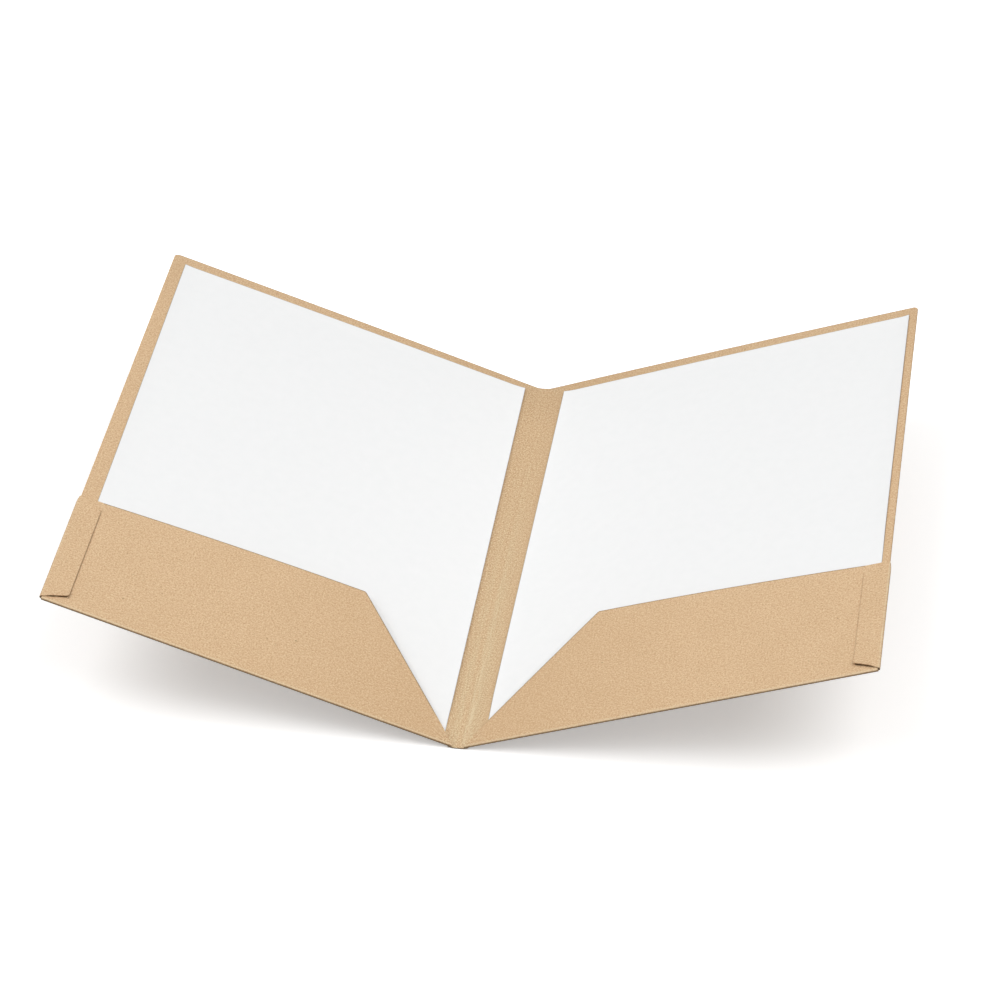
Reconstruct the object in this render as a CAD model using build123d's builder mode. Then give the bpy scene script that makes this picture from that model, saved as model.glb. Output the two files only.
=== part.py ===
from build123d import *

import os
from math import cos, radians, sin

# Two-pocket folder of kraft board, lying on its spine with its covers open in a shallow V and a sheet in each
# pocket. One die-cut blank makes the spine, covers, pockets and glue flaps. Each panel between two folds is a
# piece of its own here, and so is each fold.
# Millimetres. +Z is up, +Y runs along the spine from the pockets to the top edge, and the origin is on the
# surface that the folder lies on, under the middle of the spine.

# Board, glue and sheet
BOARD = 0.5  # thickness of the kraft board
GLUE_THICKNESS = 0.1  # dried film between a flap and its pocket
SHEET_WIDTH = 210.0
SHEET_LENGTH = 297.0
SHEET_THICKNESS = 0.2
SHEET_CLEARANCE = 0.3  # free space at each face of a sheet and under its lower edge

# Spine and creases
SPINE_WIDTH = 6.0  # between the two crease lines
CREASE_STRIP = 0.6  # board pressed flat beside each crease line
CREASE_GAP = 0.1  # running clearance between a crease and its cover
OPEN_ANGLE = 20.5  # degrees that each cover stands above flat

# Covers, which are a little larger than the sheet
COVER_SIDE_MARGIN = 16.75  # more than the sheet's width, from the crease line to the outer fold
COVER_END_MARGIN = 8.0  # more than the sheet's length
COVER_CORNER_RADIUS = 2.5

# Pockets
POCKET_HEIGHT = 83.0
POCKET_SLANT_RUN = 66.0  # from the crease line to the upper corner of the slanted edge
POCKET_CORNER_RADIUS = 1.0

# Glue flaps
FLAP_WIDTH = 14.0  # from the flap's fold to its free edge
FLAP_TOP_GAP = 1.2  # from the pocket's top edge down to the flap
FLAP_TOP_TAPER = 6.5  # how far the flap's upper end slopes down towards its free edge
FLAP_BOTTOM_GAP = 0.4  # from the pocket's fold up to the flap
FLAP_BOTTOM_TAPER = 5.5  # how far the flap's lower end slopes up towards its free edge
FLAP_CORNER_RADIUS = 1.5
GLUE_MARGIN = 2.0  # bare board round the glue

# Where the sheets lie: the share of the free width that is on the side of the crease, and how far a sheet leans
LEFT_SHEET_SHARE = 0.41
RIGHT_SHEET_SHARE = 0.71
LEFT_SHEET_LEAN = 0.47  # degrees that its top leans outwards

# Folds: a pocket's fold wraps the sheet, and a flap's fold wraps the pocket as well
pocket_gap = SHEET_THICKNESS + 2 * SHEET_CLEARANCE
pocket_stack = 2 * BOARD + pocket_gap
pocket_fold_radius = pocket_stack / 2
flap_stack = pocket_stack + GLUE_THICKNESS + BOARD
flap_fold_radius = flap_stack / 2

# Heights of the layers' lower faces above the middle of the cover's board
cover_face = -BOARD / 2
sheet_face = BOARD / 2 + SHEET_CLEARANCE
pocket_face = BOARD / 2 + pocket_gap
glue_face = pocket_face + BOARD
flap_face = glue_face + GLUE_THICKNESS

# Places along the spine, and across the cover from the crease line
cover_width = SHEET_WIDTH + COVER_SIDE_MARGIN
cover_length = SHEET_LENGTH + COVER_END_MARGIN
top = cover_length / 2
bottom = -cover_length / 2
fold_line = bottom + pocket_fold_radius
pocket_top = bottom + POCKET_HEIGHT
sheet_bottom = bottom + BOARD + SHEET_CLEARANCE
crease_radius = BOARD / 2
panel_start = crease_radius + CREASE_GAP
panel_end = cover_width - flap_fold_radius
flap_edge = cover_width - FLAP_WIDTH
flap_bottom = fold_line + FLAP_BOTTOM_GAP
flap_top = pocket_top - FLAP_TOP_GAP
flap_edge_bottom = flap_bottom + FLAP_BOTTOM_TAPER
flap_edge_top = flap_top - FLAP_TOP_TAPER

# The right cover's own frame: its origin is on the crease line, its X runs out across the cover, its Y runs
# along the spine, and its Z leaves the inner face
crease_x = SPINE_WIDTH / 2
slope = radians(OPEN_ANGLE)
outward = Vector(cos(slope), 0, sin(slope))
inward = Vector(-sin(slope), 0, cos(slope))
along = Vector(0, 1, 0)
cover_plane = Plane(origin=(crease_x, 0, BOARD / 2), x_dir=outward, z_dir=inward)


def fold_section(radius):
    """Draws half a ring of board, open towards -X, round the origin of the sketch that calls it."""
    Circle(radius)
    Circle(radius - BOARD, mode=Mode.SUBTRACT)
    split(bisect_by=Plane.YZ)


def sheet_outline(inner_share, lean):
    """Draws a sheet on its lowest corner, with that share of the free width between it and the crease."""
    turn = radians(lean)
    half_width = (SHEET_WIDTH * cos(turn) + SHEET_LENGTH * sin(turn)) / 2
    half_length = (SHEET_LENGTH * cos(turn) + SHEET_WIDTH * sin(turn)) / 2
    inset = panel_start + inner_share * (panel_end - panel_start - 2 * half_width)
    with Locations((inset + half_width, sheet_bottom + half_length)):
        Rectangle(SHEET_WIDTH, SHEET_LENGTH, rotation=-lean)


# Spine: the flat back between the creases
with BuildPart() as spine_panel:
    with BuildSketch(Plane.XY):
        Rectangle(SPINE_WIDTH - 2 * CREASE_STRIP, cover_length)
    extrude(amount=BOARD)

# Crease: a pressed strip with a round bead on the crease line, which the cover turns about
with BuildPart() as right_crease:
    with BuildSketch(Plane.XZ.offset(-top)):
        with Locations((crease_x - CREASE_STRIP / 2, BOARD / 2)):
            Rectangle(CREASE_STRIP, BOARD)
        with Locations((crease_x, BOARD / 2)):
            Circle(crease_radius)
    extrude(amount=cover_length)

# Cover panel: plain board, with its outer top corner rounded
with BuildPart() as right_cover_panel:
    with BuildSketch(cover_plane.offset(cover_face)) as cover_outline:
        with Locations(((panel_start + panel_end) / 2, (fold_line + top) / 2)):
            Rectangle(panel_end - panel_start, top - fold_line)
        outer_corners = cover_outline.vertices().group_by(Axis.X)[-1]
        fillet(outer_corners.sort_by(Axis.Y)[-1], radius=COVER_CORNER_RADIUS)
    extrude(amount=BOARD)

# Pocket fold: the board turns back on itself along the lower edge
pocket_fold_centre = Vector(panel_start, fold_line, cover_face + pocket_fold_radius)
pocket_fold_start = cover_plane.from_local_coords(pocket_fold_centre)
with BuildPart() as right_pocket_fold:
    with BuildSketch(Plane(origin=pocket_fold_start, x_dir=-along, z_dir=outward)):
        fold_section(pocket_fold_radius)
    extrude(amount=panel_end - panel_start)

# Pocket panel: a slanted inner edge runs from the lower edge at the crease up to the level top edge
with BuildPart() as right_pocket_panel:
    with BuildSketch(cover_plane.offset(pocket_face)) as pocket_outline:
        with BuildLine():
            Polyline(
                (panel_start, fold_line),
                (panel_end, fold_line),
                (panel_end, pocket_top),
                (POCKET_SLANT_RUN, pocket_top),
                close=True,
            )
        make_face()
        upper_corners = pocket_outline.vertices().group_by(Axis.Y)[-1]
        fillet(upper_corners.sort_by(Axis.X)[0], radius=POCKET_CORNER_RADIUS)
    extrude(amount=BOARD)

# Flap fold: the cover's outer edge turns over the end of the pocket
flap_fold_centre = Vector(panel_end, flap_top, cover_face + flap_fold_radius)
flap_fold_start = cover_plane.from_local_coords(flap_fold_centre)
with BuildPart() as right_flap_fold:
    with BuildSketch(Plane(origin=flap_fold_start, x_dir=outward, z_dir=-along)):
        fold_section(flap_fold_radius)
    extrude(amount=flap_top - flap_bottom)

# Glue flap: lies on the pocket, tapered at both ends
with BuildPart() as right_glue_flap:
    with BuildSketch(cover_plane.offset(flap_face)) as flap_outline:
        with BuildLine():
            Polyline(
                (panel_end, flap_bottom),
                (panel_end, flap_top),
                (flap_edge, flap_edge_top),
                (flap_edge, flap_edge_bottom),
                close=True,
            )
        make_face()
        fillet(flap_outline.vertices().group_by(Axis.X)[0], radius=FLAP_CORNER_RADIUS)
    extrude(amount=BOARD)

# Glue strip: holds the flap down on the pocket
glue_length = flap_edge_top - flap_edge_bottom - 2 * GLUE_MARGIN
glue_width = panel_end - flap_edge - 2 * GLUE_MARGIN
with BuildPart() as right_glue_strip:
    with BuildSketch(cover_plane.offset(glue_face)):
        with Locations(((flap_edge + panel_end) / 2, (flap_edge_bottom + flap_edge_top) / 2)):
            Rectangle(glue_width, glue_length)
    extrude(amount=GLUE_THICKNESS)

# Sheets: each stands on its pocket's fold. The left one is drawn on the right cover and mirrored after.
with BuildPart() as right_sheet:
    with BuildSketch(cover_plane.offset(sheet_face)):
        sheet_outline(RIGHT_SHEET_SHARE, 0)
    extrude(amount=SHEET_THICKNESS)

with BuildPart() as left_sheet_on_right:
    with BuildSketch(cover_plane.offset(sheet_face)):
        sheet_outline(LEFT_SHEET_SHARE, LEFT_SHEET_LEAN)
    extrude(amount=SHEET_THICKNESS)


def save(piece, name):
    """Labels a finished piece and writes it under its own name."""
    piece.part.label = name
    export_step(piece.part, f"parts/{name}.step")


def save_mirrored(piece, name):
    """Writes the left-hand image of a right-hand piece."""
    with BuildPart() as image:
        mirror(piece.part, about=Plane.YZ)
    save(image, name)


os.makedirs("parts", exist_ok=True)
save(spine_panel, "spine_panel")
pairs = {
    "crease": right_crease,
    "cover_panel": right_cover_panel,
    "pocket_fold": right_pocket_fold,
    "pocket_panel": right_pocket_panel,
    "flap_fold": right_flap_fold,
    "glue_flap": right_glue_flap,
    "glue_strip": right_glue_strip,
}
for pair_name, right_piece in pairs.items():
    save(right_piece, f"right_{pair_name}")
    save_mirrored(right_piece, f"left_{pair_name}")
save(right_sheet, "right_sheet")
save_mirrored(left_sheet_on_right, "left_sheet")
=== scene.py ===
import math

import bmesh
import bpy
from mathutils import Matrix, Vector


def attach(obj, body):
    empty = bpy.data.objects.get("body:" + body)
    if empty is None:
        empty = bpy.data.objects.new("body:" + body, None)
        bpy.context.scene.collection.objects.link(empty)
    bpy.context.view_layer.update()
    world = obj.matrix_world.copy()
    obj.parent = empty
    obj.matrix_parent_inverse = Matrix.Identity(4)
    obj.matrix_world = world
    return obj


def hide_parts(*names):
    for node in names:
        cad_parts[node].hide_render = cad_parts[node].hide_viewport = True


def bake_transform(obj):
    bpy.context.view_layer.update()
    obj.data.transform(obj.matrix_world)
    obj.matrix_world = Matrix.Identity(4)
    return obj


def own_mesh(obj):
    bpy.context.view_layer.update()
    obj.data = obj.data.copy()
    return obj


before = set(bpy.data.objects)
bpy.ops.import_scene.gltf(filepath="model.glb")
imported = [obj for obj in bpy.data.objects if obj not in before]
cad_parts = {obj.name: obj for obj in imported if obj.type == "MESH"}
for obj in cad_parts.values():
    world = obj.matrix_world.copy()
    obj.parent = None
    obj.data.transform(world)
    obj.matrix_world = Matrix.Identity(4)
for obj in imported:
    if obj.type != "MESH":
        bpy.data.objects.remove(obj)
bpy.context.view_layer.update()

# Sizes in millimetres, as in the CAD source
BOARD = 0.5
GLUE_T = 0.1
SHEET_T = 0.2
SHEET_GAP = 0.3
SHEET_SIZE = (210.0, 297.0)
SHEET_MIDDLE = {"left": (111.80, 150.16), "right": (116.14, 149.3)}
SHEET_LEAN = {"left": math.radians(0.47), "right": 0.0}
SPINE = 6.0
OPEN = math.radians(20.5)
COVER_W = 226.75
COVER_H = 305.0
POCKET_H = 83.0
SLANT_RUN = 66.0
FLAP_W = 14.0
FLAP_BOTTOM_GAP, FLAP_BOTTOM_TAPER = 0.4, 5.5
FLAP_TOP_GAP, FLAP_TOP_TAPER = 1.2, 6.5
SIGN = {"left": -1, "right": 1}

# Places that follow from them: u out from the crease line, v up from the lower edge, w off the middle of the board
FOLD_R = (2 * BOARD + SHEET_T + 2 * SHEET_GAP) / 2  # outer radius of the pocket's fold
FOLD_MIDDLE = FOLD_R - BOARD / 2
FLAP_R = FOLD_R + (GLUE_T + BOARD) / 2  # outer radius of the flap's fold
FLAP_MIDDLE = FLAP_R - BOARD / 2
PANEL_START = 0.5
PANEL_END = COVER_W - FLAP_R
POCKET_RISE = POCKET_H - FOLD_R
POCKET_W = 2 * FOLD_R - BOARD
FLAP_EDGE = COVER_W - FLAP_W
FLAP_LOW, FLAP_HIGH = FOLD_R + FLAP_BOTTOM_GAP, POCKET_H - FLAP_TOP_GAP  # along its fold
EDGE_LOW, EDGE_HIGH = FLAP_LOW + FLAP_BOTTOM_TAPER, FLAP_HIGH - FLAP_TOP_TAPER  # along its free edge

# Bend and spring of the board and the paper, in millimetres, which the CAD's stiff solids leave out
BEND = 2.6  # board that bends on each side of a crease line
BOW = 0.4  # at the middle of a cover
BOW_FROM_CREASE, BOW_FROM_FOLD = 20, 60  # stretches over which the bow sets in
POCKET_OPEN = 4.6  # at the pocket's free corner
OPEN_POWER_ACROSS, OPEN_POWER_UP = 1.75, 0.8
FLAP_END_LIFT = {"left": 0.8, "right": 1.1}
FLAP_EDGE_LIFT = {"left": 0.18, "right": 0.08}
LIFT_LENGTH, LIFT_WIDTH = 0.12, 0.35  # shares of the flap over which its lower end lifts
LIFT_LOSS = 0.4  # share of the free edge's lift that is lost at its upper end
HEM_RUN_OUT = 3.5  # stretch over which the flap's fold narrows to half at its upper end
SHEET_OFF = 0.06  # between the sheet and the board
CURL_TOP, CURL_OUTER, CURL_INNER = 0.2, 0.6, 0.85  # at the sheet's edges
CURL_REACH = 5
CURL_UPPER = (POCKET_H + 4, 30)  # v where the top and outer curls set in, and over what stretch
CURL_LOWER = (14, 25)  # the same for the inner curl

# Sizes of the boxes in which corner() rounds a corner. Those without a unit are shares of the piece's grid.
COVER_CORNER = 3.0  # mm, for the CAD's radius of 2.5
POCKET_CORNER = (0.05, 0.01)
FLAP_CORNER = (0.1, 0.02)

# Grids, with lengths in millimetres
CREASE_STEPS = 24
FAN_BEYOND = 14  # from the pocket's slanted corner to its first straight column
BLANK_FOLD = 3  # left for the pocket's fold on the uncut blank
CROWDING = 0.13  # how much closer a sheet's rows lie towards its edges

# Values of wearing and painted light run from 1, paled by wearing and by painted highlights, to -1, darkened,
# mostly as painted shade. Distances are in millimetres, turns along a fold in radians.
AT_CUT = 0.1  # points nearer than this to a cut edge or a fold lie on it
CUT_STRIP, CUT_PAINTED_SHADOW = 0.6, 0.55  # painted shadow line: the strip beside a cut edge, and how dark it is
SIDE_CUT_SHADOW = {"left": 0.0, "right": 0.6}  # share of that painted shadow line along a cover's outer edge
SIDE_CUT_FROM = POCKET_H + 2
CREASE_PALE, CREASE_SPREAD = 0.29, 2.8
BESIDE_PALE, BESIDE_SPREAD = {"left": 0.08, "right": 0.27}, 10
CREASE_END_DARK = 0.9
# painted shade darkening the board towards its top edge; the stretch gives the v where it sets in and its length
TOP_PAINTED_SHADE, TOP_STRETCH = 0.07, (255, 40)
FOLD_SHADE_TO_HIGHLIGHT = {"left": 2.45, "right": 2.2}  # turn where the pocket's fold goes from painted shade to a painted highlight
# painted highlight and painted shade on the pocket's fold
FOLD_HIGHLIGHT, FOLD_SHADE = 0.9, 0.65
FOLD_HIGHLIGHT_REACH, FOLD_SHADE_REACH = 0.5, 0.4
FOLD_LINE_HIGHLIGHT = 0.85  # painted highlight where the fold meets the pocket
# painted highlight and painted shade on the flap's fold
HEM_HIGHLIGHT, HEM_SHADE = {"left": 0.25, "right": 0.7}, 0.6
HEM_HIGHLIGHT_AT, HEM_HIGHLIGHT_REACH = 2.5, 0.6
HEM_SHADE_UNTIL, HEM_SHADE_REACH = 1.9, 0.5
# painted shade on the pocket just under the flap's lower end
UNDER_FLAP_SHADE, UNDER_FLAP_IN, UNDER_FLAP_REACH = 0.85, 0.3, 4
SLANT_STRIP, SLANT_SHADOW = 0.7, 0.9  # painted shadow line along the pocket's cut edges
SLANT_STRETCH = (10, 12)  # v where that sets in, and over what stretch
FLAP_EDGE_SHADOW = {"left": 0.5, "right": 0.2}  # painted shadow line beside the flap's free edge, on the pocket
FLAP_LINE_IN, FLAP_LINE_SPREAD = 0.25, 0.35
FLAP_LINE_ENDS = (6, POCKET_H - 7)
# painted shade along the sheet's cut edges: the width of the strip it spreads over, and its darkness
SHEET_EDGE, SHEET_EDGE_SHADE = 0.3, 0.8


def at(side, u, v, w):
    """Point in metres for a place on one side, given in millimetres."""
    x = SIGN[side] * (SPINE / 2 + u * math.cos(OPEN) - w * math.sin(OPEN))
    z = BOARD / 2 + u * math.sin(OPEN) + w * math.cos(OPEN)
    return Vector((x, v - COVER_H / 2, z)) / 1000


def on_blank(side, u, v):
    """Place on the uncut blank, in millimetres from the lower end of the spine's middle line."""
    return SIGN[side] * SPINE / 2 + SIGN[side] * u, v


def smooth(t):
    """Goes from 0 to 1 as t does, level at both ends and beyond them."""
    t = min(1.0, max(0.0, t))
    return t * t * (3 - 2 * t)


def rising(v, stretch):
    """Goes from 0 to 1 with v, over a stretch given by its start and its length."""
    start, over = stretch
    return smooth((v - start) / over)


def bell(distance, spread):
    return math.exp(-((distance / spread) ** 2))


def bow(u):
    """How far the cover and its sheet stand off the flat, from the board's own spring."""
    return 4 * BOW * max(0.0, (u / COVER_W) * (1 - u / COVER_W))


def pocket_lift(u, v):
    """How far the pocket stands open: held at the flap and the fold, free at its slanted corner."""
    across = min(1.0, max(0.0, (FLAP_EDGE - u) / (FLAP_EDGE - SLANT_RUN)))
    up = max(0.0, v - FOLD_R) / POCKET_RISE
    return POCKET_OPEN * (1 - (1 - across) ** OPEN_POWER_ACROSS) * up ** OPEN_POWER_UP


# Meshes

def steps(a, b, n):
    return [a + (b - a) * i / n for i in range(n + 1)]


def chain(stops, counts):
    """Even steps from each stop to the next, as many as its count."""
    points = [stops[0]]
    for a, b, n in zip(stops, stops[1:], counts):
        points += steps(a, b, n)[1:]
    return points


def corner(s, r, s_end, r_end, ds, dr):
    """Rounds one corner of a grid: (s_end, r_end) is the corner, ds and dr the signed size of its box."""
    a, b = (s - (s_end - ds)) / ds, (r - (r_end - dr)) / dr
    if a <= 0 or b <= 0:
        return s, r
    return s_end - ds + ds * a * math.sqrt(1 - b * b / 2), r_end - dr + dr * b * math.sqrt(1 - a * a / 2)


def board(name, body, ss, rs, place, thick, flip=False, wear_and_painted_light=None, flat=None):
    """A sheet of board or paper: a grid of points in its middle, thickened, with its rim in a second slot.

    place gives each point in metres and flat its place on the uncut blank in millimetres; the other keyword gives
    each point's wearing, painted highlight and painted shade, kept as a point attribute.
    """
    bm = bmesh.new()
    uv_layer = bm.loops.layers.uv.new("blank")
    wear_and_painted_light_layer = bm.verts.layers.float.new("wear_and_painted_light")
    grid, where = [], {}
    for s in ss:
        row = []
        for r in rs:
            vert = bm.verts.new(place(s, r))
            vert[wear_and_painted_light_layer] = wear_and_painted_light(s, r) if wear_and_painted_light else 0.0
            where[vert] = flat(s, r) if flat else (s, r)
            row.append(vert)
        grid.append(row)
    for i in range(len(ss) - 1):
        for j in range(len(rs) - 1):
            quad = [grid[i][j], grid[i + 1][j], grid[i + 1][j + 1], grid[i][j + 1]]
            face = bm.faces.new(quad[::-1] if flip else quad)
            for loop in face.loops:
                u, v = where[loop.vert]
                loop[uv_layer].uv = (u / 1000, v / 1000)
    mesh = bpy.data.meshes.new(name)
    bm.to_mesh(mesh)
    bm.free()
    obj = bpy.data.objects.new(name, mesh)
    bpy.context.scene.collection.objects.link(obj)
    solid = obj.modifiers.new("thickness", "SOLIDIFY")
    solid.thickness = thick / 1000
    solid.offset = 0
    solid.use_even_offset = True
    solid.material_offset_rim = 1
    mesh.materials.append(None)
    mesh.materials.append(None)
    bpy.context.view_layer.update()
    done = bpy.data.meshes.new_from_object(obj.evaluated_get(bpy.context.evaluated_depsgraph_get()))
    obj.modifiers.clear()
    obj.data = done
    bpy.data.meshes.remove(mesh)
    done.name = name
    done.shade_smooth()
    done.set_sharp_from_angle(angle=math.radians(35))
    if body:
        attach(obj, body)
    return obj


# Materials. Colours are linear red, green and blue.

NOISE = (0.3, 0.7)  # range that most of a noise lies in
MIX_SOCKETS, MIX_RESULT = (0, 6, 7), 2  # factor and the two colours of a Mix node, and the mixed colour


def nodes_of(name):
    mat = bpy.data.materials.new(name)
    mat.use_nodes = True
    tree = mat.node_tree
    return mat, tree, tree.nodes["Principled BSDF"]


def feed(tree, socket, value):
    """Links a socket to another, or sets it to a number or a colour."""
    if isinstance(value, bpy.types.NodeSocket):
        tree.links.new(value, socket)
    elif socket.type == "RGBA":
        socket.default_value = (*value, 1)
    else:
        socket.default_value = value


def node(tree, kind, inputs=None, **props):
    n = tree.nodes.new(kind)
    for key, value in props.items():
        setattr(n, key, value)
    for key, value in (inputs or {}).items():
        feed(tree, n.inputs[key], value)
    return n


def noise(tree, vector, scale, detail=2, rough=0.55, distortion=0.0):
    inputs = {"Vector": vector, "Scale": scale, "Detail": detail, "Roughness": rough, "Distortion": distortion}
    return node(tree, "ShaderNodeTexNoise", inputs).outputs["Fac"]


def drawn_out(tree, vector, turn, along, across, detail=2, rough=0.55, distortion=0.0):
    """Noise drawn out into fibres or streaks: along and across are its scales in these directions."""
    inputs = {"Vector": vector, "Rotation": (0, 0, turn), "Scale": (along, across, across)}
    mapped = node(tree, "ShaderNodeMapping", inputs).outputs["Vector"]
    return noise(tree, mapped, 1, detail, rough, distortion)


def span(tree, value, source, target):
    """Maps a range of values to another, and holds it at the ends."""
    (low, high), (to_low, to_high) = source, target
    inputs = {"Value": value, "From Min": low, "From Max": high, "To Min": to_low, "To Max": to_high}
    return node(tree, "ShaderNodeMapRange", inputs).outputs["Result"]


def maths(tree, how, a, b):
    return node(tree, "ShaderNodeMath", {0: a, 1: b}, operation=how).outputs[0]


def mixed(tree, fac, a, b):
    inputs = dict(zip(MIX_SOCKETS, (fac, a, b)))
    return node(tree, "ShaderNodeMix", inputs, data_type="RGBA").outputs[MIX_RESULT]


def layer(tree, tone, value, source, share, colour):
    """Lays a colour over tone, by the share that value maps to."""
    return mixed(tree, span(tree, value, source, share), tone, colour)


def wear_and_painted_light_of(tree):
    return node(tree, "ShaderNodeAttribute", attribute_name="wear_and_painted_light").outputs["Fac"]


def darkened(tree, tone, colour):
    """Turns tone to a colour as the attribute of wearing and painted light goes down from 0 to -1, which is mostly
    painted shade.
    """
    return layer(tree, tone, wear_and_painted_light_of(tree), (-1, 0), (1, 0), colour)


def surfaced(tree, shader, tone, grain, rough, height, strength, depth, gloss=0.5):
    """Gives a shader its colour, a roughness that follows grain, its bump and its level of gloss."""
    bump = node(tree, "ShaderNodeBump", {"Height": height, "Strength": strength, "Distance": depth})
    feed(tree, shader.inputs["Base Color"], tone)
    feed(tree, shader.inputs["Roughness"], span(tree, grain, NOISE, rough))
    feed(tree, shader.inputs["Specular IOR Level"], gloss)
    feed(tree, shader.inputs["Normal"], bump.outputs["Normal"])


def kraft():
    """Uncoated kraft board: faintly clouded tan with a fine speckle, crossing pale and dark fibres and a few dark
    shives. It has painted shade towards the spine, where the covers close in over it, and is crushed to a coarse
    grain beside it. It is paled in streaks by wearing and by painted highlights, and darkened mostly by painted
    shade."""
    mat, tree, shader = nodes_of("kraft_board")
    blank = node(tree, "ShaderNodeUVMap", uv_map="blank").outputs["UV"]
    cloud = noise(tree, blank, scale=45, detail=3)
    mottle = noise(tree, blank, scale=330, detail=3, rough=0.6)
    speckle = noise(tree, blank, scale=1150, rough=0.7)
    grain = noise(tree, blank, scale=1200, rough=0.7)
    fibre_a = drawn_out(tree, blank, turn=0.5, along=480, across=2100, distortion=0.7)
    fibre_b = drawn_out(tree, blank, turn=-0.9, along=520, across=2300, distortion=0.7)
    shive = drawn_out(tree, blank, turn=0.25, along=520, across=980, detail=1, rough=0.5, distortion=0.8)
    streak = drawn_out(tree, blank, turn=0, along=3000, across=60, rough=0.5)
    across = node(tree, "ShaderNodeSeparateXYZ", {0: blank}).outputs["X"]
    from_spine = maths(tree, "ABSOLUTE", across, 0)

    tone = mixed(tree, span(tree, cloud, NOISE, (0, 1)), (0.723, 0.514, 0.304), (0.765, 0.552, 0.334))
    tone = layer(tree, tone, mottle, NOISE, (0, 0.5), (0.676, 0.447, 0.262))
    # painted shade: darker towards the spine, where the covers close in over it
    tone = layer(tree, tone, from_spine, (0.02, 0.13), (0.6, 0), (0.610, 0.415, 0.232))
    tone = layer(tree, tone, speckle, (0.28, 0.54), (1.0, 0), (0.540, 0.310, 0.177))
    tone = layer(tree, tone, speckle, (0.50, 0.72), (0, 0.6), (0.840, 0.685, 0.445))

    crushed = span(tree, from_spine, (0.009, 0.016), (1, 0))
    dark_grain = maths(tree, "MULTIPLY", crushed, span(tree, grain, (0.30, 0.50), (1.0, 0)))
    pale_grain = maths(tree, "MULTIPLY", crushed, span(tree, grain, (0.50, 0.70), (0, 0.9)))
    tone = mixed(tree, dark_grain, tone, (0.475, 0.268, 0.150))
    tone = mixed(tree, pale_grain, tone, (0.825, 0.710, 0.455))

    tone = layer(tree, tone, fibre_a, (0.55, 0.72), (0, 0.55), (0.838, 0.668, 0.425))
    tone = layer(tree, tone, fibre_b, (0.56, 0.74), (0, 0.55), (0.558, 0.328, 0.186))
    tone = layer(tree, tone, shive, (0.745, 0.785), (0, 0.6), (0.300, 0.185, 0.090))

    # attribute of wearing and painted light: paled in streaks by wearing and painted highlights, darkened mostly
    # by painted shade
    wear_and_painted_light_value = wear_and_painted_light_of(tree)
    streaked = span(tree, streak, (0.42, 0.66), (0.3, 1.0))
    fade = maths(tree, "MULTIPLY", span(tree, wear_and_painted_light_value, (0, 1), (0, 1)), streaked)
    paled = mixed(tree, span(tree, wear_and_painted_light_value, (0.4, 0.9), (0, 1)), (0.730, 0.672, 0.447), (0.970, 0.760, 0.520))
    tone = mixed(tree, fade, tone, paled)
    tone = darkened(tree, tone, (0.200, 0.125, 0.062))

    height = maths(tree, "ADD", maths(tree, "ADD", fibre_a, fibre_b), speckle)
    surfaced(tree, shader, tone, mottle, (0.82, 0.95), height, strength=0.22, depth=0.0001, gloss=0.2)
    return mat


def cut_edge():
    """Die-cut edge of the board: dark torn fibres with nicks, darker still with the painted shade and darkening of
    the board beside it.
    """
    mat, tree, shader = nodes_of("kraft_cut_edge")
    place = node(tree, "ShaderNodeTexCoord").outputs["Object"]
    torn = noise(tree, place, scale=900, rough=0.6)
    nicks = noise(tree, place, scale=260, detail=3, rough=0.7)
    tone = mixed(tree, span(tree, torn, NOISE, (0, 1)), (0.220, 0.140, 0.072), (0.420, 0.285, 0.160))
    tone = layer(tree, tone, nicks, (0.55, 0.75), (0, 0.6), (0.090, 0.055, 0.028))
    tone = darkened(tree, tone, (0.050, 0.031, 0.017))
    surfaced(tree, shader, tone, torn, (0.85, 0.97), torn, strength=0.4, depth=0.0001, gloss=0.15)
    return mat


def paper():
    """Plain uncoated office paper: white, with a very faint cloud and fibre tooth, and greyed by painted shade
    along its edges.
    """
    mat, tree, shader = nodes_of("white_paper")
    blank = node(tree, "ShaderNodeUVMap", uv_map="blank").outputs["UV"]
    cloud = noise(tree, blank, scale=160, detail=3, rough=0.6)
    tooth = noise(tree, blank, scale=2600, rough=0.6)
    fibre = drawn_out(tree, blank, turn=0.7, along=500, across=2400, rough=0.5, distortion=0.5)
    tone = mixed(tree, span(tree, cloud, NOISE, (0, 1)), (0.918, 0.924, 0.924), (0.934, 0.938, 0.938))
    tone = layer(tree, tone, fibre, (0.6, 0.75), (0, 0.3), (0.895, 0.900, 0.900))
    # painted shade along the sheet's edges
    tone = darkened(tree, tone, (0.250, 0.245, 0.240))
    surfaced(tree, shader, tone, tooth, (0.72, 0.88), tooth, strength=0.1, depth=0.00005, gloss=0.2)
    return mat


def glue():
    """Dried adhesive film: cloudy, off-white, with ripples from the applicator."""
    mat, tree, shader = nodes_of("dried_glue")
    place = node(tree, "ShaderNodeTexCoord").outputs["Object"]
    ripple = drawn_out(tree, place, turn=0, along=900, across=140, detail=3, rough=0.6, distortion=0.8)
    tone = mixed(tree, span(tree, ripple, NOISE, (0, 1)), (0.70, 0.64, 0.50), (0.82, 0.78, 0.68))
    surfaced(tree, shader, tone, ripple, (0.35, 0.6), ripple, strength=0.3, depth=0.0001)
    return mat


KRAFT, CUT, PAPER, GLUE = kraft(), cut_edge(), paper(), glue()


def dress(obj, face, rim, slot, *stands_for):
    obj.data.materials.clear()
    obj.data.materials.append(face)
    obj.data.materials.append(rim)
    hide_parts(*stands_for)


def dress_kraft(obj, *stands_for):
    dress(obj, KRAFT, CUT, "kraft_board", *stands_for)


# Spine and creases. Their rows lie closer at the two cut ends.

LENGTHS = [0.0, 0.35] + steps(0.7, COVER_H - CUT_STRIP, 40) + [COVER_H]


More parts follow.
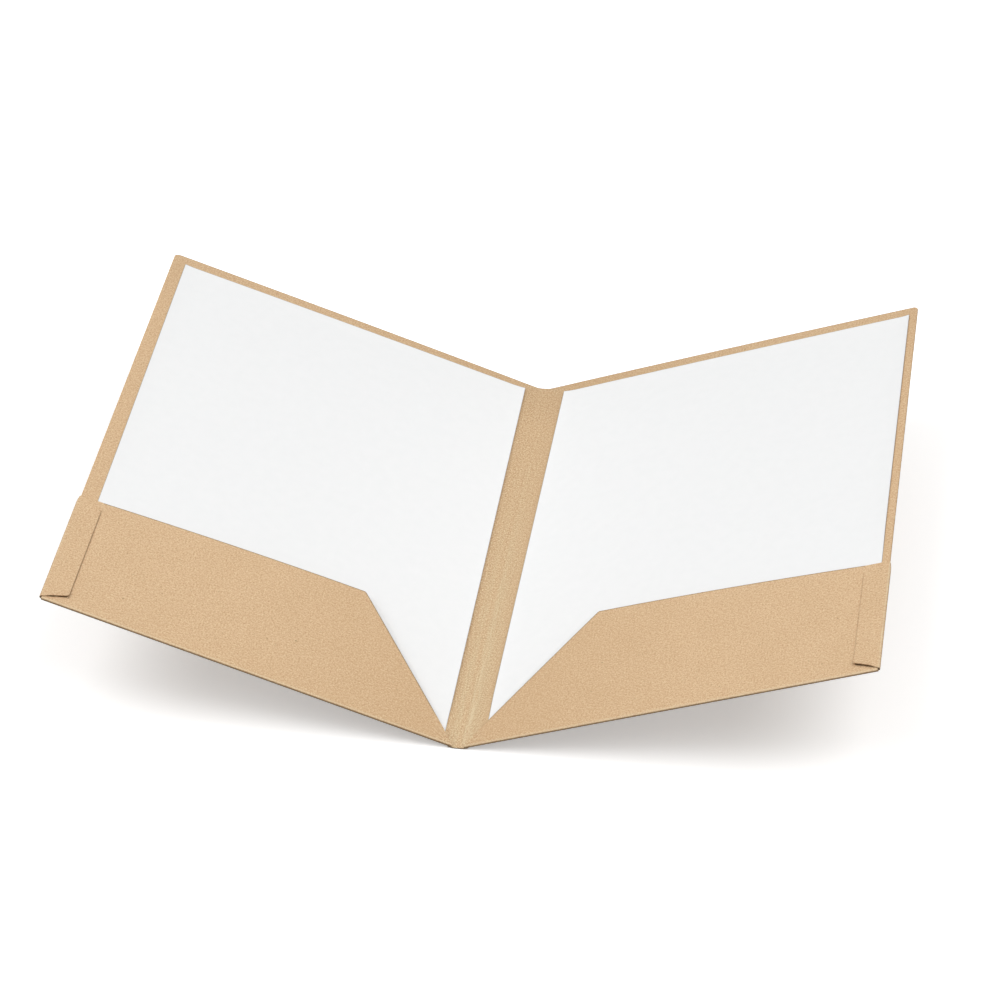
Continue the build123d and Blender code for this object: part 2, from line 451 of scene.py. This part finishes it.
def painted_cut_shadow(from_cut):
    """Painted shadow line: darkening of the last strip of board along a cut edge."""
    return -CUT_PAINTED_SHADOW * max(0.0, 1 - from_cut / CUT_STRIP)


def crease_wear_and_shade(s, v, beside=0.0):
    """Pale streaks along a crease line, fading towards the top, painted shade at the top with a painted shadow
    line along its cut edge, and a dark lower end.

    s is the distance from the line, below 0 towards the spine, and beside pales the cover next to it.
    """
    if v < AT_CUT:
        return -CREASE_END_DARK
    paled = CREASE_PALE * bell(s, CREASE_SPREAD) + beside * bell(s, BESIDE_SPREAD) * smooth(1 + s / BEND)
    # painted shade towards the top, with a painted shadow line along the top cut edge
    top_painted_shade = painted_cut_shadow(COVER_H - v) - TOP_PAINTED_SHADE * rising(v, TOP_STRETCH)
    return paled * (1 - smooth(v / COVER_H)) + top_painted_shade


def make_spine():
    """The flat strip between the two bends."""
    flat_half = SPINE / 2 - BEND
    spine = board(
        "spine_board", "spine", steps(-flat_half, flat_half, 4), LENGTHS,
        lambda s, r: Vector((s, r - COVER_H / 2, BOARD / 2)) / 1000, BOARD,
        wear_and_painted_light=lambda s, r: crease_wear_and_shade(SPINE / 2 - abs(s), r),
    )
    dress_kraft(spine, "spine_panel")


def bend_curve():
    """Middle line of a crease at rest: from the spine's plane up to the cover's, turning smoothly."""
    x = z = 0.0
    points = [(0.0, 0.0)]
    for k in range(CREASE_STEPS):
        turn = OPEN * smooth((k + 0.5) / CREASE_STEPS)
        x, z = x + math.cos(turn), z + math.sin(turn)
        points.append((x, z))
    scale = BEND * math.sin(OPEN) / z
    return [(px * scale - BEND, pz * scale) for px, pz in points]


def make_crease(side):
    """The board that bends between the spine and the cover."""
    sign, cover = SIGN[side], f"{side}_cover"
    curve = bend_curve()

    def crease_s(k):
        return BEND * (2 * k / CREASE_STEPS - 1)

    def crease_point(k, r):
        x, z = curve[k]
        return Vector((sign * (SPINE / 2 + x), r - COVER_H / 2, BOARD / 2 + z)) / 1000

    crease = board(
        f"{side}_crease_board", None, range(CREASE_STEPS + 1), LENGTHS, crease_point, BOARD, side == "left",
        wear_and_painted_light=lambda k, r: crease_wear_and_shade(crease_s(k), r, BESIDE_PALE[side]),
        flat=lambda k, r: on_blank(side, crease_s(k), r),
    )
    dress_kraft(crease, f"{side}_crease")
    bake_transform(crease)


def make_cover(side):
    """Cover panel, with its outer top corner rounded."""
    us = chain((BEND, BOW_FROM_CREASE, PANEL_END - COVER_CORNER, PANEL_END), (9, 36, 5))
    vs = chain((FOLD_R, COVER_H - COVER_CORNER, COVER_H), (50, 5))

    def cover_point(u, v):
        u, v = corner(u, v, PANEL_END, COVER_H, COVER_CORNER, COVER_CORNER)
        return at(side, u, v, bow(u) * smooth((u - BEND) / BOW_FROM_CREASE) * smooth(v / BOW_FROM_FOLD))

    def cover_wear_and_shade(u, v):
        # painted shadow line along the outer cut edge, above the pocket
        outer = SIDE_CUT_SHADOW[side] * painted_cut_shadow(PANEL_END - u) if v > SIDE_CUT_FROM else 0.0
        return crease_wear_and_shade(u, v, BESIDE_PALE[side]) + outer

    panel = board(
        f"{side}_cover_board", f"{side}_cover", us, vs, cover_point, BOARD, side == "left",
        wear_and_painted_light=cover_wear_and_shade, flat=lambda u, v: on_blank(side, u, v),
    )
    dress_kraft(panel, f"{side}_cover_panel")


def make_pocket_fold(side):
    """Half a turn of board along the lower edge, with painted shade below and a painted highlight where it turns
    up to the pocket.
    """
    shade_ends = FOLD_SHADE_TO_HIGHLIGHT[side]

    def fold_point(u, turn):
        w = -BOARD / 2 + FOLD_R - FOLD_MIDDLE * math.cos(turn)
        return at(side, u, FOLD_R - FOLD_MIDDLE * math.sin(turn), w)

    def fold_shade_and_highlight(u, turn):
        # painted highlight where the fold turns up to the pocket, painted shade below it
        paled = FOLD_HIGHLIGHT * smooth(1 - abs(turn - shade_ends - FOLD_SHADE_REACH) / FOLD_HIGHLIGHT_REACH)
        return paled - FOLD_SHADE * smooth((shade_ends - turn) / FOLD_SHADE_REACH)

    fold = board(
        f"{side}_pocket_hem", f"{side}_cover", steps(PANEL_START, PANEL_END, 60), steps(0, math.pi, 28),
        fold_point, BOARD, side == "right",
        wear_and_painted_light=fold_shade_and_highlight, flat=lambda u, turn: on_blank(side, u, -FOLD_MIDDLE * turn),
    )
    dress_kraft(fold, f"{side}_pocket_fold")


def make_pocket(side):
    """Pocket panel with a slanted inner edge, standing a little open.

    Its columns fan out from the slanted edge for s from 0 to 1, and run straight up from 1 to 2.
    """
    straight = SLANT_RUN + FAN_BEYOND
    slant_width = SLANT_RUN - PANEL_START

    def pocket_uv(s, r):
        ds, dr = POCKET_CORNER
        s, r = corner(s, r, 0, 1, -ds, dr)
        inner = PANEL_START + slant_width * r
        u = inner + (straight - inner) * s if s < 1 else straight + (PANEL_END - straight) * (s - 1)
        return u, FOLD_R + POCKET_RISE * r

    def pocket_point(s, r):
        u, v = pocket_uv(s, r)
        return at(side, u, v, POCKET_W + pocket_lift(u, v))

    def pocket_blank(s, r):
        u, v = pocket_uv(s, r)
        return on_blank(side, u, -v - BLANK_FOLD)

    def pocket_painted_light(s, r):
        u, v = pocket_uv(s, r)
        # painted shade on the pocket under the flap's lower end
        under_flap = v - FLAP_LOW - (EDGE_LOW - FLAP_LOW) * (PANEL_END - u) / (PANEL_END - FLAP_EDGE)
        if u > FLAP_EDGE + UNDER_FLAP_IN and AT_CUT < under_flap < UNDER_FLAP_REACH:
            return -UNDER_FLAP_SHADE
        # painted highlight where the fold meets the pocket
        if v < FOLD_R + AT_CUT:
            return FOLD_LINE_HIGHLIGHT
        # painted shadow line along the pocket's slanted and top cut edges
        slant = (u - PANEL_START) * POCKET_RISE - (v - FOLD_R) * slant_width
        from_cut = min(POCKET_H - v, slant / math.hypot(POCKET_RISE, slant_width))
        if from_cut < SLANT_STRIP and u < FLAP_EDGE:
            return -SLANT_SHADOW * (1 - from_cut / SLANT_STRIP) * rising(v, SLANT_STRETCH)
        # painted shadow line beside the flap's free edge
        flap_shadow = FLAP_EDGE_SHADOW[side] * bell(u - FLAP_EDGE + FLAP_LINE_IN, FLAP_LINE_SPREAD)
        low, high = FLAP_LINE_ENDS
        return -flap_shadow if low < v < high else 0.0

    # Columns lie closer at the slanted edge and at the flap's free edge, rows at the fold and at the top edge
    press = 1 + (FLAP_EDGE - straight) / (PANEL_END - straight)
    columns = [0, 0.005, 0.01, 0.02, 0.035] + chain((0.05, 1, press - 0.01, press + 0.005, 2), (14, 24, 10, 9))
    rows = chain((0, 0.14, 0.98), (24, 22)) + [0.985, 0.99, 0.9925, 0.995, 0.9975, 1]
    pocket = board(
        f"{side}_pocket_board", f"{side}_cover", columns, rows, pocket_point, BOARD, side == "left",
        wear_and_painted_light=pocket_painted_light, flat=pocket_blank,
    )
    dress_kraft(pocket, f"{side}_pocket_panel")
    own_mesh(pocket)


def make_flap_fold(side):
    """The cover's outer edge turned over the end of the pocket, running out at its upper end."""

    def hem_point(turn, v):
        out = FLAP_MIDDLE * (1 - 0.5 * smooth((v - FLAP_HIGH + HEM_RUN_OUT) / HEM_RUN_OUT))
        w = -BOARD / 2 + FLAP_R - FLAP_MIDDLE * math.cos(turn)
        return at(side, PANEL_END + out * math.sin(turn), v, w)

    def hem_shade_and_highlight(turn, v):
        # painted highlight along the flap's fold, and painted shade on its outer and under side
        paled = HEM_HIGHLIGHT[side] * smooth(1 - abs(turn - HEM_HIGHLIGHT_AT) / HEM_HIGHLIGHT_REACH)
        return paled - HEM_SHADE * smooth((HEM_SHADE_UNTIL - turn) / HEM_SHADE_REACH)

    hem = board(
        f"{side}_flap_hem", f"{side}_cover", steps(0, math.pi, 20), steps(FLAP_LOW, FLAP_HIGH, 40),
        hem_point, BOARD, side == "left",
        wear_and_painted_light=hem_shade_and_highlight, flat=lambda turn, v: on_blank(side, PANEL_END + FLAP_MIDDLE * turn, v),
    )
    dress_kraft(hem, f"{side}_flap_fold")


def make_flap(side):
    """Glue flap on the pocket, its lower end standing a little off, and the CAD's strip of glue under it."""
    edge = FLAP_EDGE

    def flap_uv(s, r):
        ds, dr = FLAP_CORNER
        s, r = corner(s, r, 1, 0, ds, -dr)
        s, r = corner(s, r, 1, 1, ds, dr)
        bottom, top = FLAP_LOW + (EDGE_LOW - FLAP_LOW) * s, FLAP_HIGH + (EDGE_HIGH - FLAP_HIGH) * s
        return PANEL_END + (edge - PANEL_END) * s, bottom + (top - bottom) * r

    def flap_point(s, r):
        u, v = flap_uv(s, r)
        end_lift = FLAP_END_LIFT[side] * (1 - smooth(r / LIFT_LENGTH)) * smooth(s / LIFT_WIDTH)
        lift = end_lift + FLAP_EDGE_LIFT[side] * s * s * (1 - LIFT_LOSS * r)
        return at(side, u, v, -BOARD + 2 * FLAP_R + lift)

    def flap_blank(s, r):
        u, v = flap_uv(s, r)
        return on_blank(side, 2 * COVER_W - u, v)

    flap = board(
        f"{side}_flap_board", f"{side}_cover", chain((0, 0.9, 1), (8, 4)), chain((0, 0.02, 0.98, 1), (4, 40, 4)),
        flap_point, BOARD, side == "right", flat=flap_blank,
    )
    dress_kraft(flap, f"{side}_glue_flap")
    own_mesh(flap)
    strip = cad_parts[f"{side}_glue_strip"]
    strip.data.materials.clear()
    strip.data.materials.append(GLUE)


def make_sheet(side):
    """A loose sheet: lies on the cover and follows its bow, its edges just off the board."""
    (middle_u, middle_v), lean = SHEET_MIDDLE[side], SHEET_LEAN[side]
    width, length = SHEET_SIZE

    def sheet_point(s, r):
        x, y = s - width / 2, r - length / 2
        u = middle_u + x * math.cos(lean) + y * math.sin(lean)
        v = middle_v - x * math.sin(lean) + y * math.cos(lean)
        top = CURL_TOP * math.exp((r - length) / CURL_REACH)
        outer = CURL_OUTER * math.exp((s - width) / CURL_REACH)
        inner = CURL_INNER * math.exp(-s / CURL_REACH)
        curl = max(max(top, outer) * rising(v, CURL_UPPER), inner * rising(v, CURL_LOWER))
        return at(side, u, v, BOARD / 2 + SHEET_OFF + SHEET_T / 2 + bow(u) + curl)

    def sheet_edge_shade(s, r):
        # painted shade along the sheet's cut edges
        return -SHEET_EDGE_SHADE if min(s, width - s, r, length - r) < AT_CUT else 0.0

    def toward_edges(size, n):
        inside = [size * (t - CROWDING * math.sin(2 * math.pi * t)) for t in steps(0, 1, n)[1:-1]]
        return [0.0, SHEET_EDGE] + inside + [size - SHEET_EDGE, size]

    sheet = board(
        f"{side}_paper_sheet", f"{side}_sheet", toward_edges(width, 50), toward_edges(length, 70), sheet_point,
        SHEET_T, side == "left", wear_and_painted_light=sheet_edge_shade,
    )
    dress(sheet, PAPER, PAPER, "white_paper", f"{side}_sheet")


make_spine()
for side_name in SIGN:
    make_crease(side_name)
    make_cover(side_name)
    make_pocket_fold(side_name)
    make_pocket(side_name)
    make_flap_fold(side_name)
    make_flap(side_name)
    make_sheet(side_name)


# Floor and light, in metres

FLOOR_HALF, FLOOR_DROP = 30.0, 0.0003
LAMPS = {"left_lamp": (-1.3, -0.55, 2.5), "right_lamp": (1.3, -0.55, 2.5)}
LAMP_SIZE, LAMP_WATTS = 2.0, 31.3


def seen_directly(tree):
    """1 for rays from the camera, a gloss or a glass, and 0 for those that light the object."""
    rays = tree.nodes.new("ShaderNodeLightPath")
    shown = maths(tree, "MAXIMUM", rays.outputs["Is Camera Ray"], rays.outputs["Is Glossy Ray"])
    return maths(tree, "MAXIMUM", shown, rays.outputs["Is Transmission Ray"])


def make_floor():
    """Pale floor, shown white where no shadow falls."""
    mesh = bpy.data.meshes.new("floor")
    corners = [(x * FLOOR_HALF, y * FLOOR_HALF, 0) for x, y in ((-1, -1), (1, -1), (1, 1), (-1, 1))]
    mesh.from_pydata(corners, [], [(0, 1, 2, 3)])
    floor = bpy.data.objects.new("floor", mesh)
    floor.location.z = -FLOOR_DROP
    bpy.context.scene.collection.objects.link(floor)
    mat, tree, shader = nodes_of("floor_pale")
    tree.nodes.remove(shader)
    pale = node(tree, "ShaderNodeBsdfDiffuse", {"Color": (0.95, 0.95, 0.95)})
    dull = node(tree, "ShaderNodeBsdfDiffuse", {"Color": (0.4, 0.4, 0.4)})
    spot = node(tree, "ShaderNodeNewGeometry").outputs["Position"]
    far = node(tree, "ShaderNodeVectorMath", {0: spot}, operation="LENGTH").outputs["Value"]
    strength = span(tree, far, (0.6, 4), (0.38, 0.85))
    glow = node(tree, "ShaderNodeEmission", {"Color": (1, 1, 1), "Strength": strength})
    lifted = node(tree, "ShaderNodeAddShader", {0: pale.outputs[0], 1: glow.outputs[0]})
    choice = {0: seen_directly(tree), 1: dull.outputs[0], 2: lifted.outputs[0]}
    surface = node(tree, "ShaderNodeMixShader", choice).outputs[0]
    tree.links.new(surface, tree.nodes["Material Output"].inputs["Surface"])
    mesh.materials.append(mat)


def make_light():
    """Soft light: a ceiling that is brighter overhead, and a large lamp above the front on each side."""
    world = bpy.data.worlds.new("studio")
    bpy.context.scene.world = world
    world.use_nodes = True
    tree = world.node_tree
    back = tree.nodes["Background"]
    back.inputs["Color"].default_value = (1, 1, 1, 1)
    toward = node(tree, "ShaderNodeTexCoord").outputs["Generated"]
    height = node(tree, "ShaderNodeSeparateXYZ", {0: toward}).outputs["Z"]
    ceiling = span(tree, height, (0, 1), (0.17, 0.513))
    level = node(tree, "ShaderNodeMix", {0: seen_directly(tree), 2: ceiling, 3: 1.0}, data_type="FLOAT")
    tree.links.new(level.outputs[0], back.inputs["Strength"])
    for name, place in LAMPS.items():
        data = bpy.data.lights.new(name, "AREA")
        data.shape = "DISK"
        data.size = LAMP_SIZE
        data.energy = LAMP_WATTS
        lamp = bpy.data.objects.new(name, data)
        lamp.location = place
        lamp.rotation_euler = (-Vector(place)).to_track_quat("-Z", "Y").to_euler()
        bpy.context.scene.collection.objects.link(lamp)


make_floor()
make_light()

# Camera at the photograph's angle, in metres
AZIMUTH, ELEVATION, ROLL = math.radians(10.285), math.radians(39.779), math.radians(-2.023)
TARGET_HEIGHT, DISTANCE, RIGHT_BY, UP_BY = 0.03, 1.89584, -0.00112, 0.00909
SENSOR, FOCAL_WIDTHS = 36, 3.4687  # millimetres, and the focal length in widths of the sensor
backward = Vector((
    math.sin(AZIMUTH) * math.cos(ELEVATION), -math.cos(AZIMUTH) * math.cos(ELEVATION), math.sin(ELEVATION),
))
level_right = Vector((math.cos(AZIMUTH), math.sin(AZIMUTH), 0))
upright = backward.cross(level_right)
rightward = level_right * math.cos(ROLL) + upright * math.sin(ROLL)
upward = upright * math.cos(ROLL) - level_right * math.sin(ROLL)
camera = bpy.data.objects.new("camera", bpy.data.cameras.new("camera"))
camera.data.sensor_width = SENSOR
camera.data.lens = SENSOR * FOCAL_WIDTHS
camera.data.clip_start, camera.data.clip_end = 0.05, 100
position = Vector((0, 0, TARGET_HEIGHT)) + backward * DISTANCE + rightward * RIGHT_BY + upward * UP_BY
camera.matrix_world = Matrix.Translation(position) @ Matrix((rightward, upward, backward)).transposed().to_4x4()
bpy.context.scene.collection.objects.link(camera)
bpy.context.scene.camera = camera
bpy.context.scene.view_settings.view_transform = "Standard"
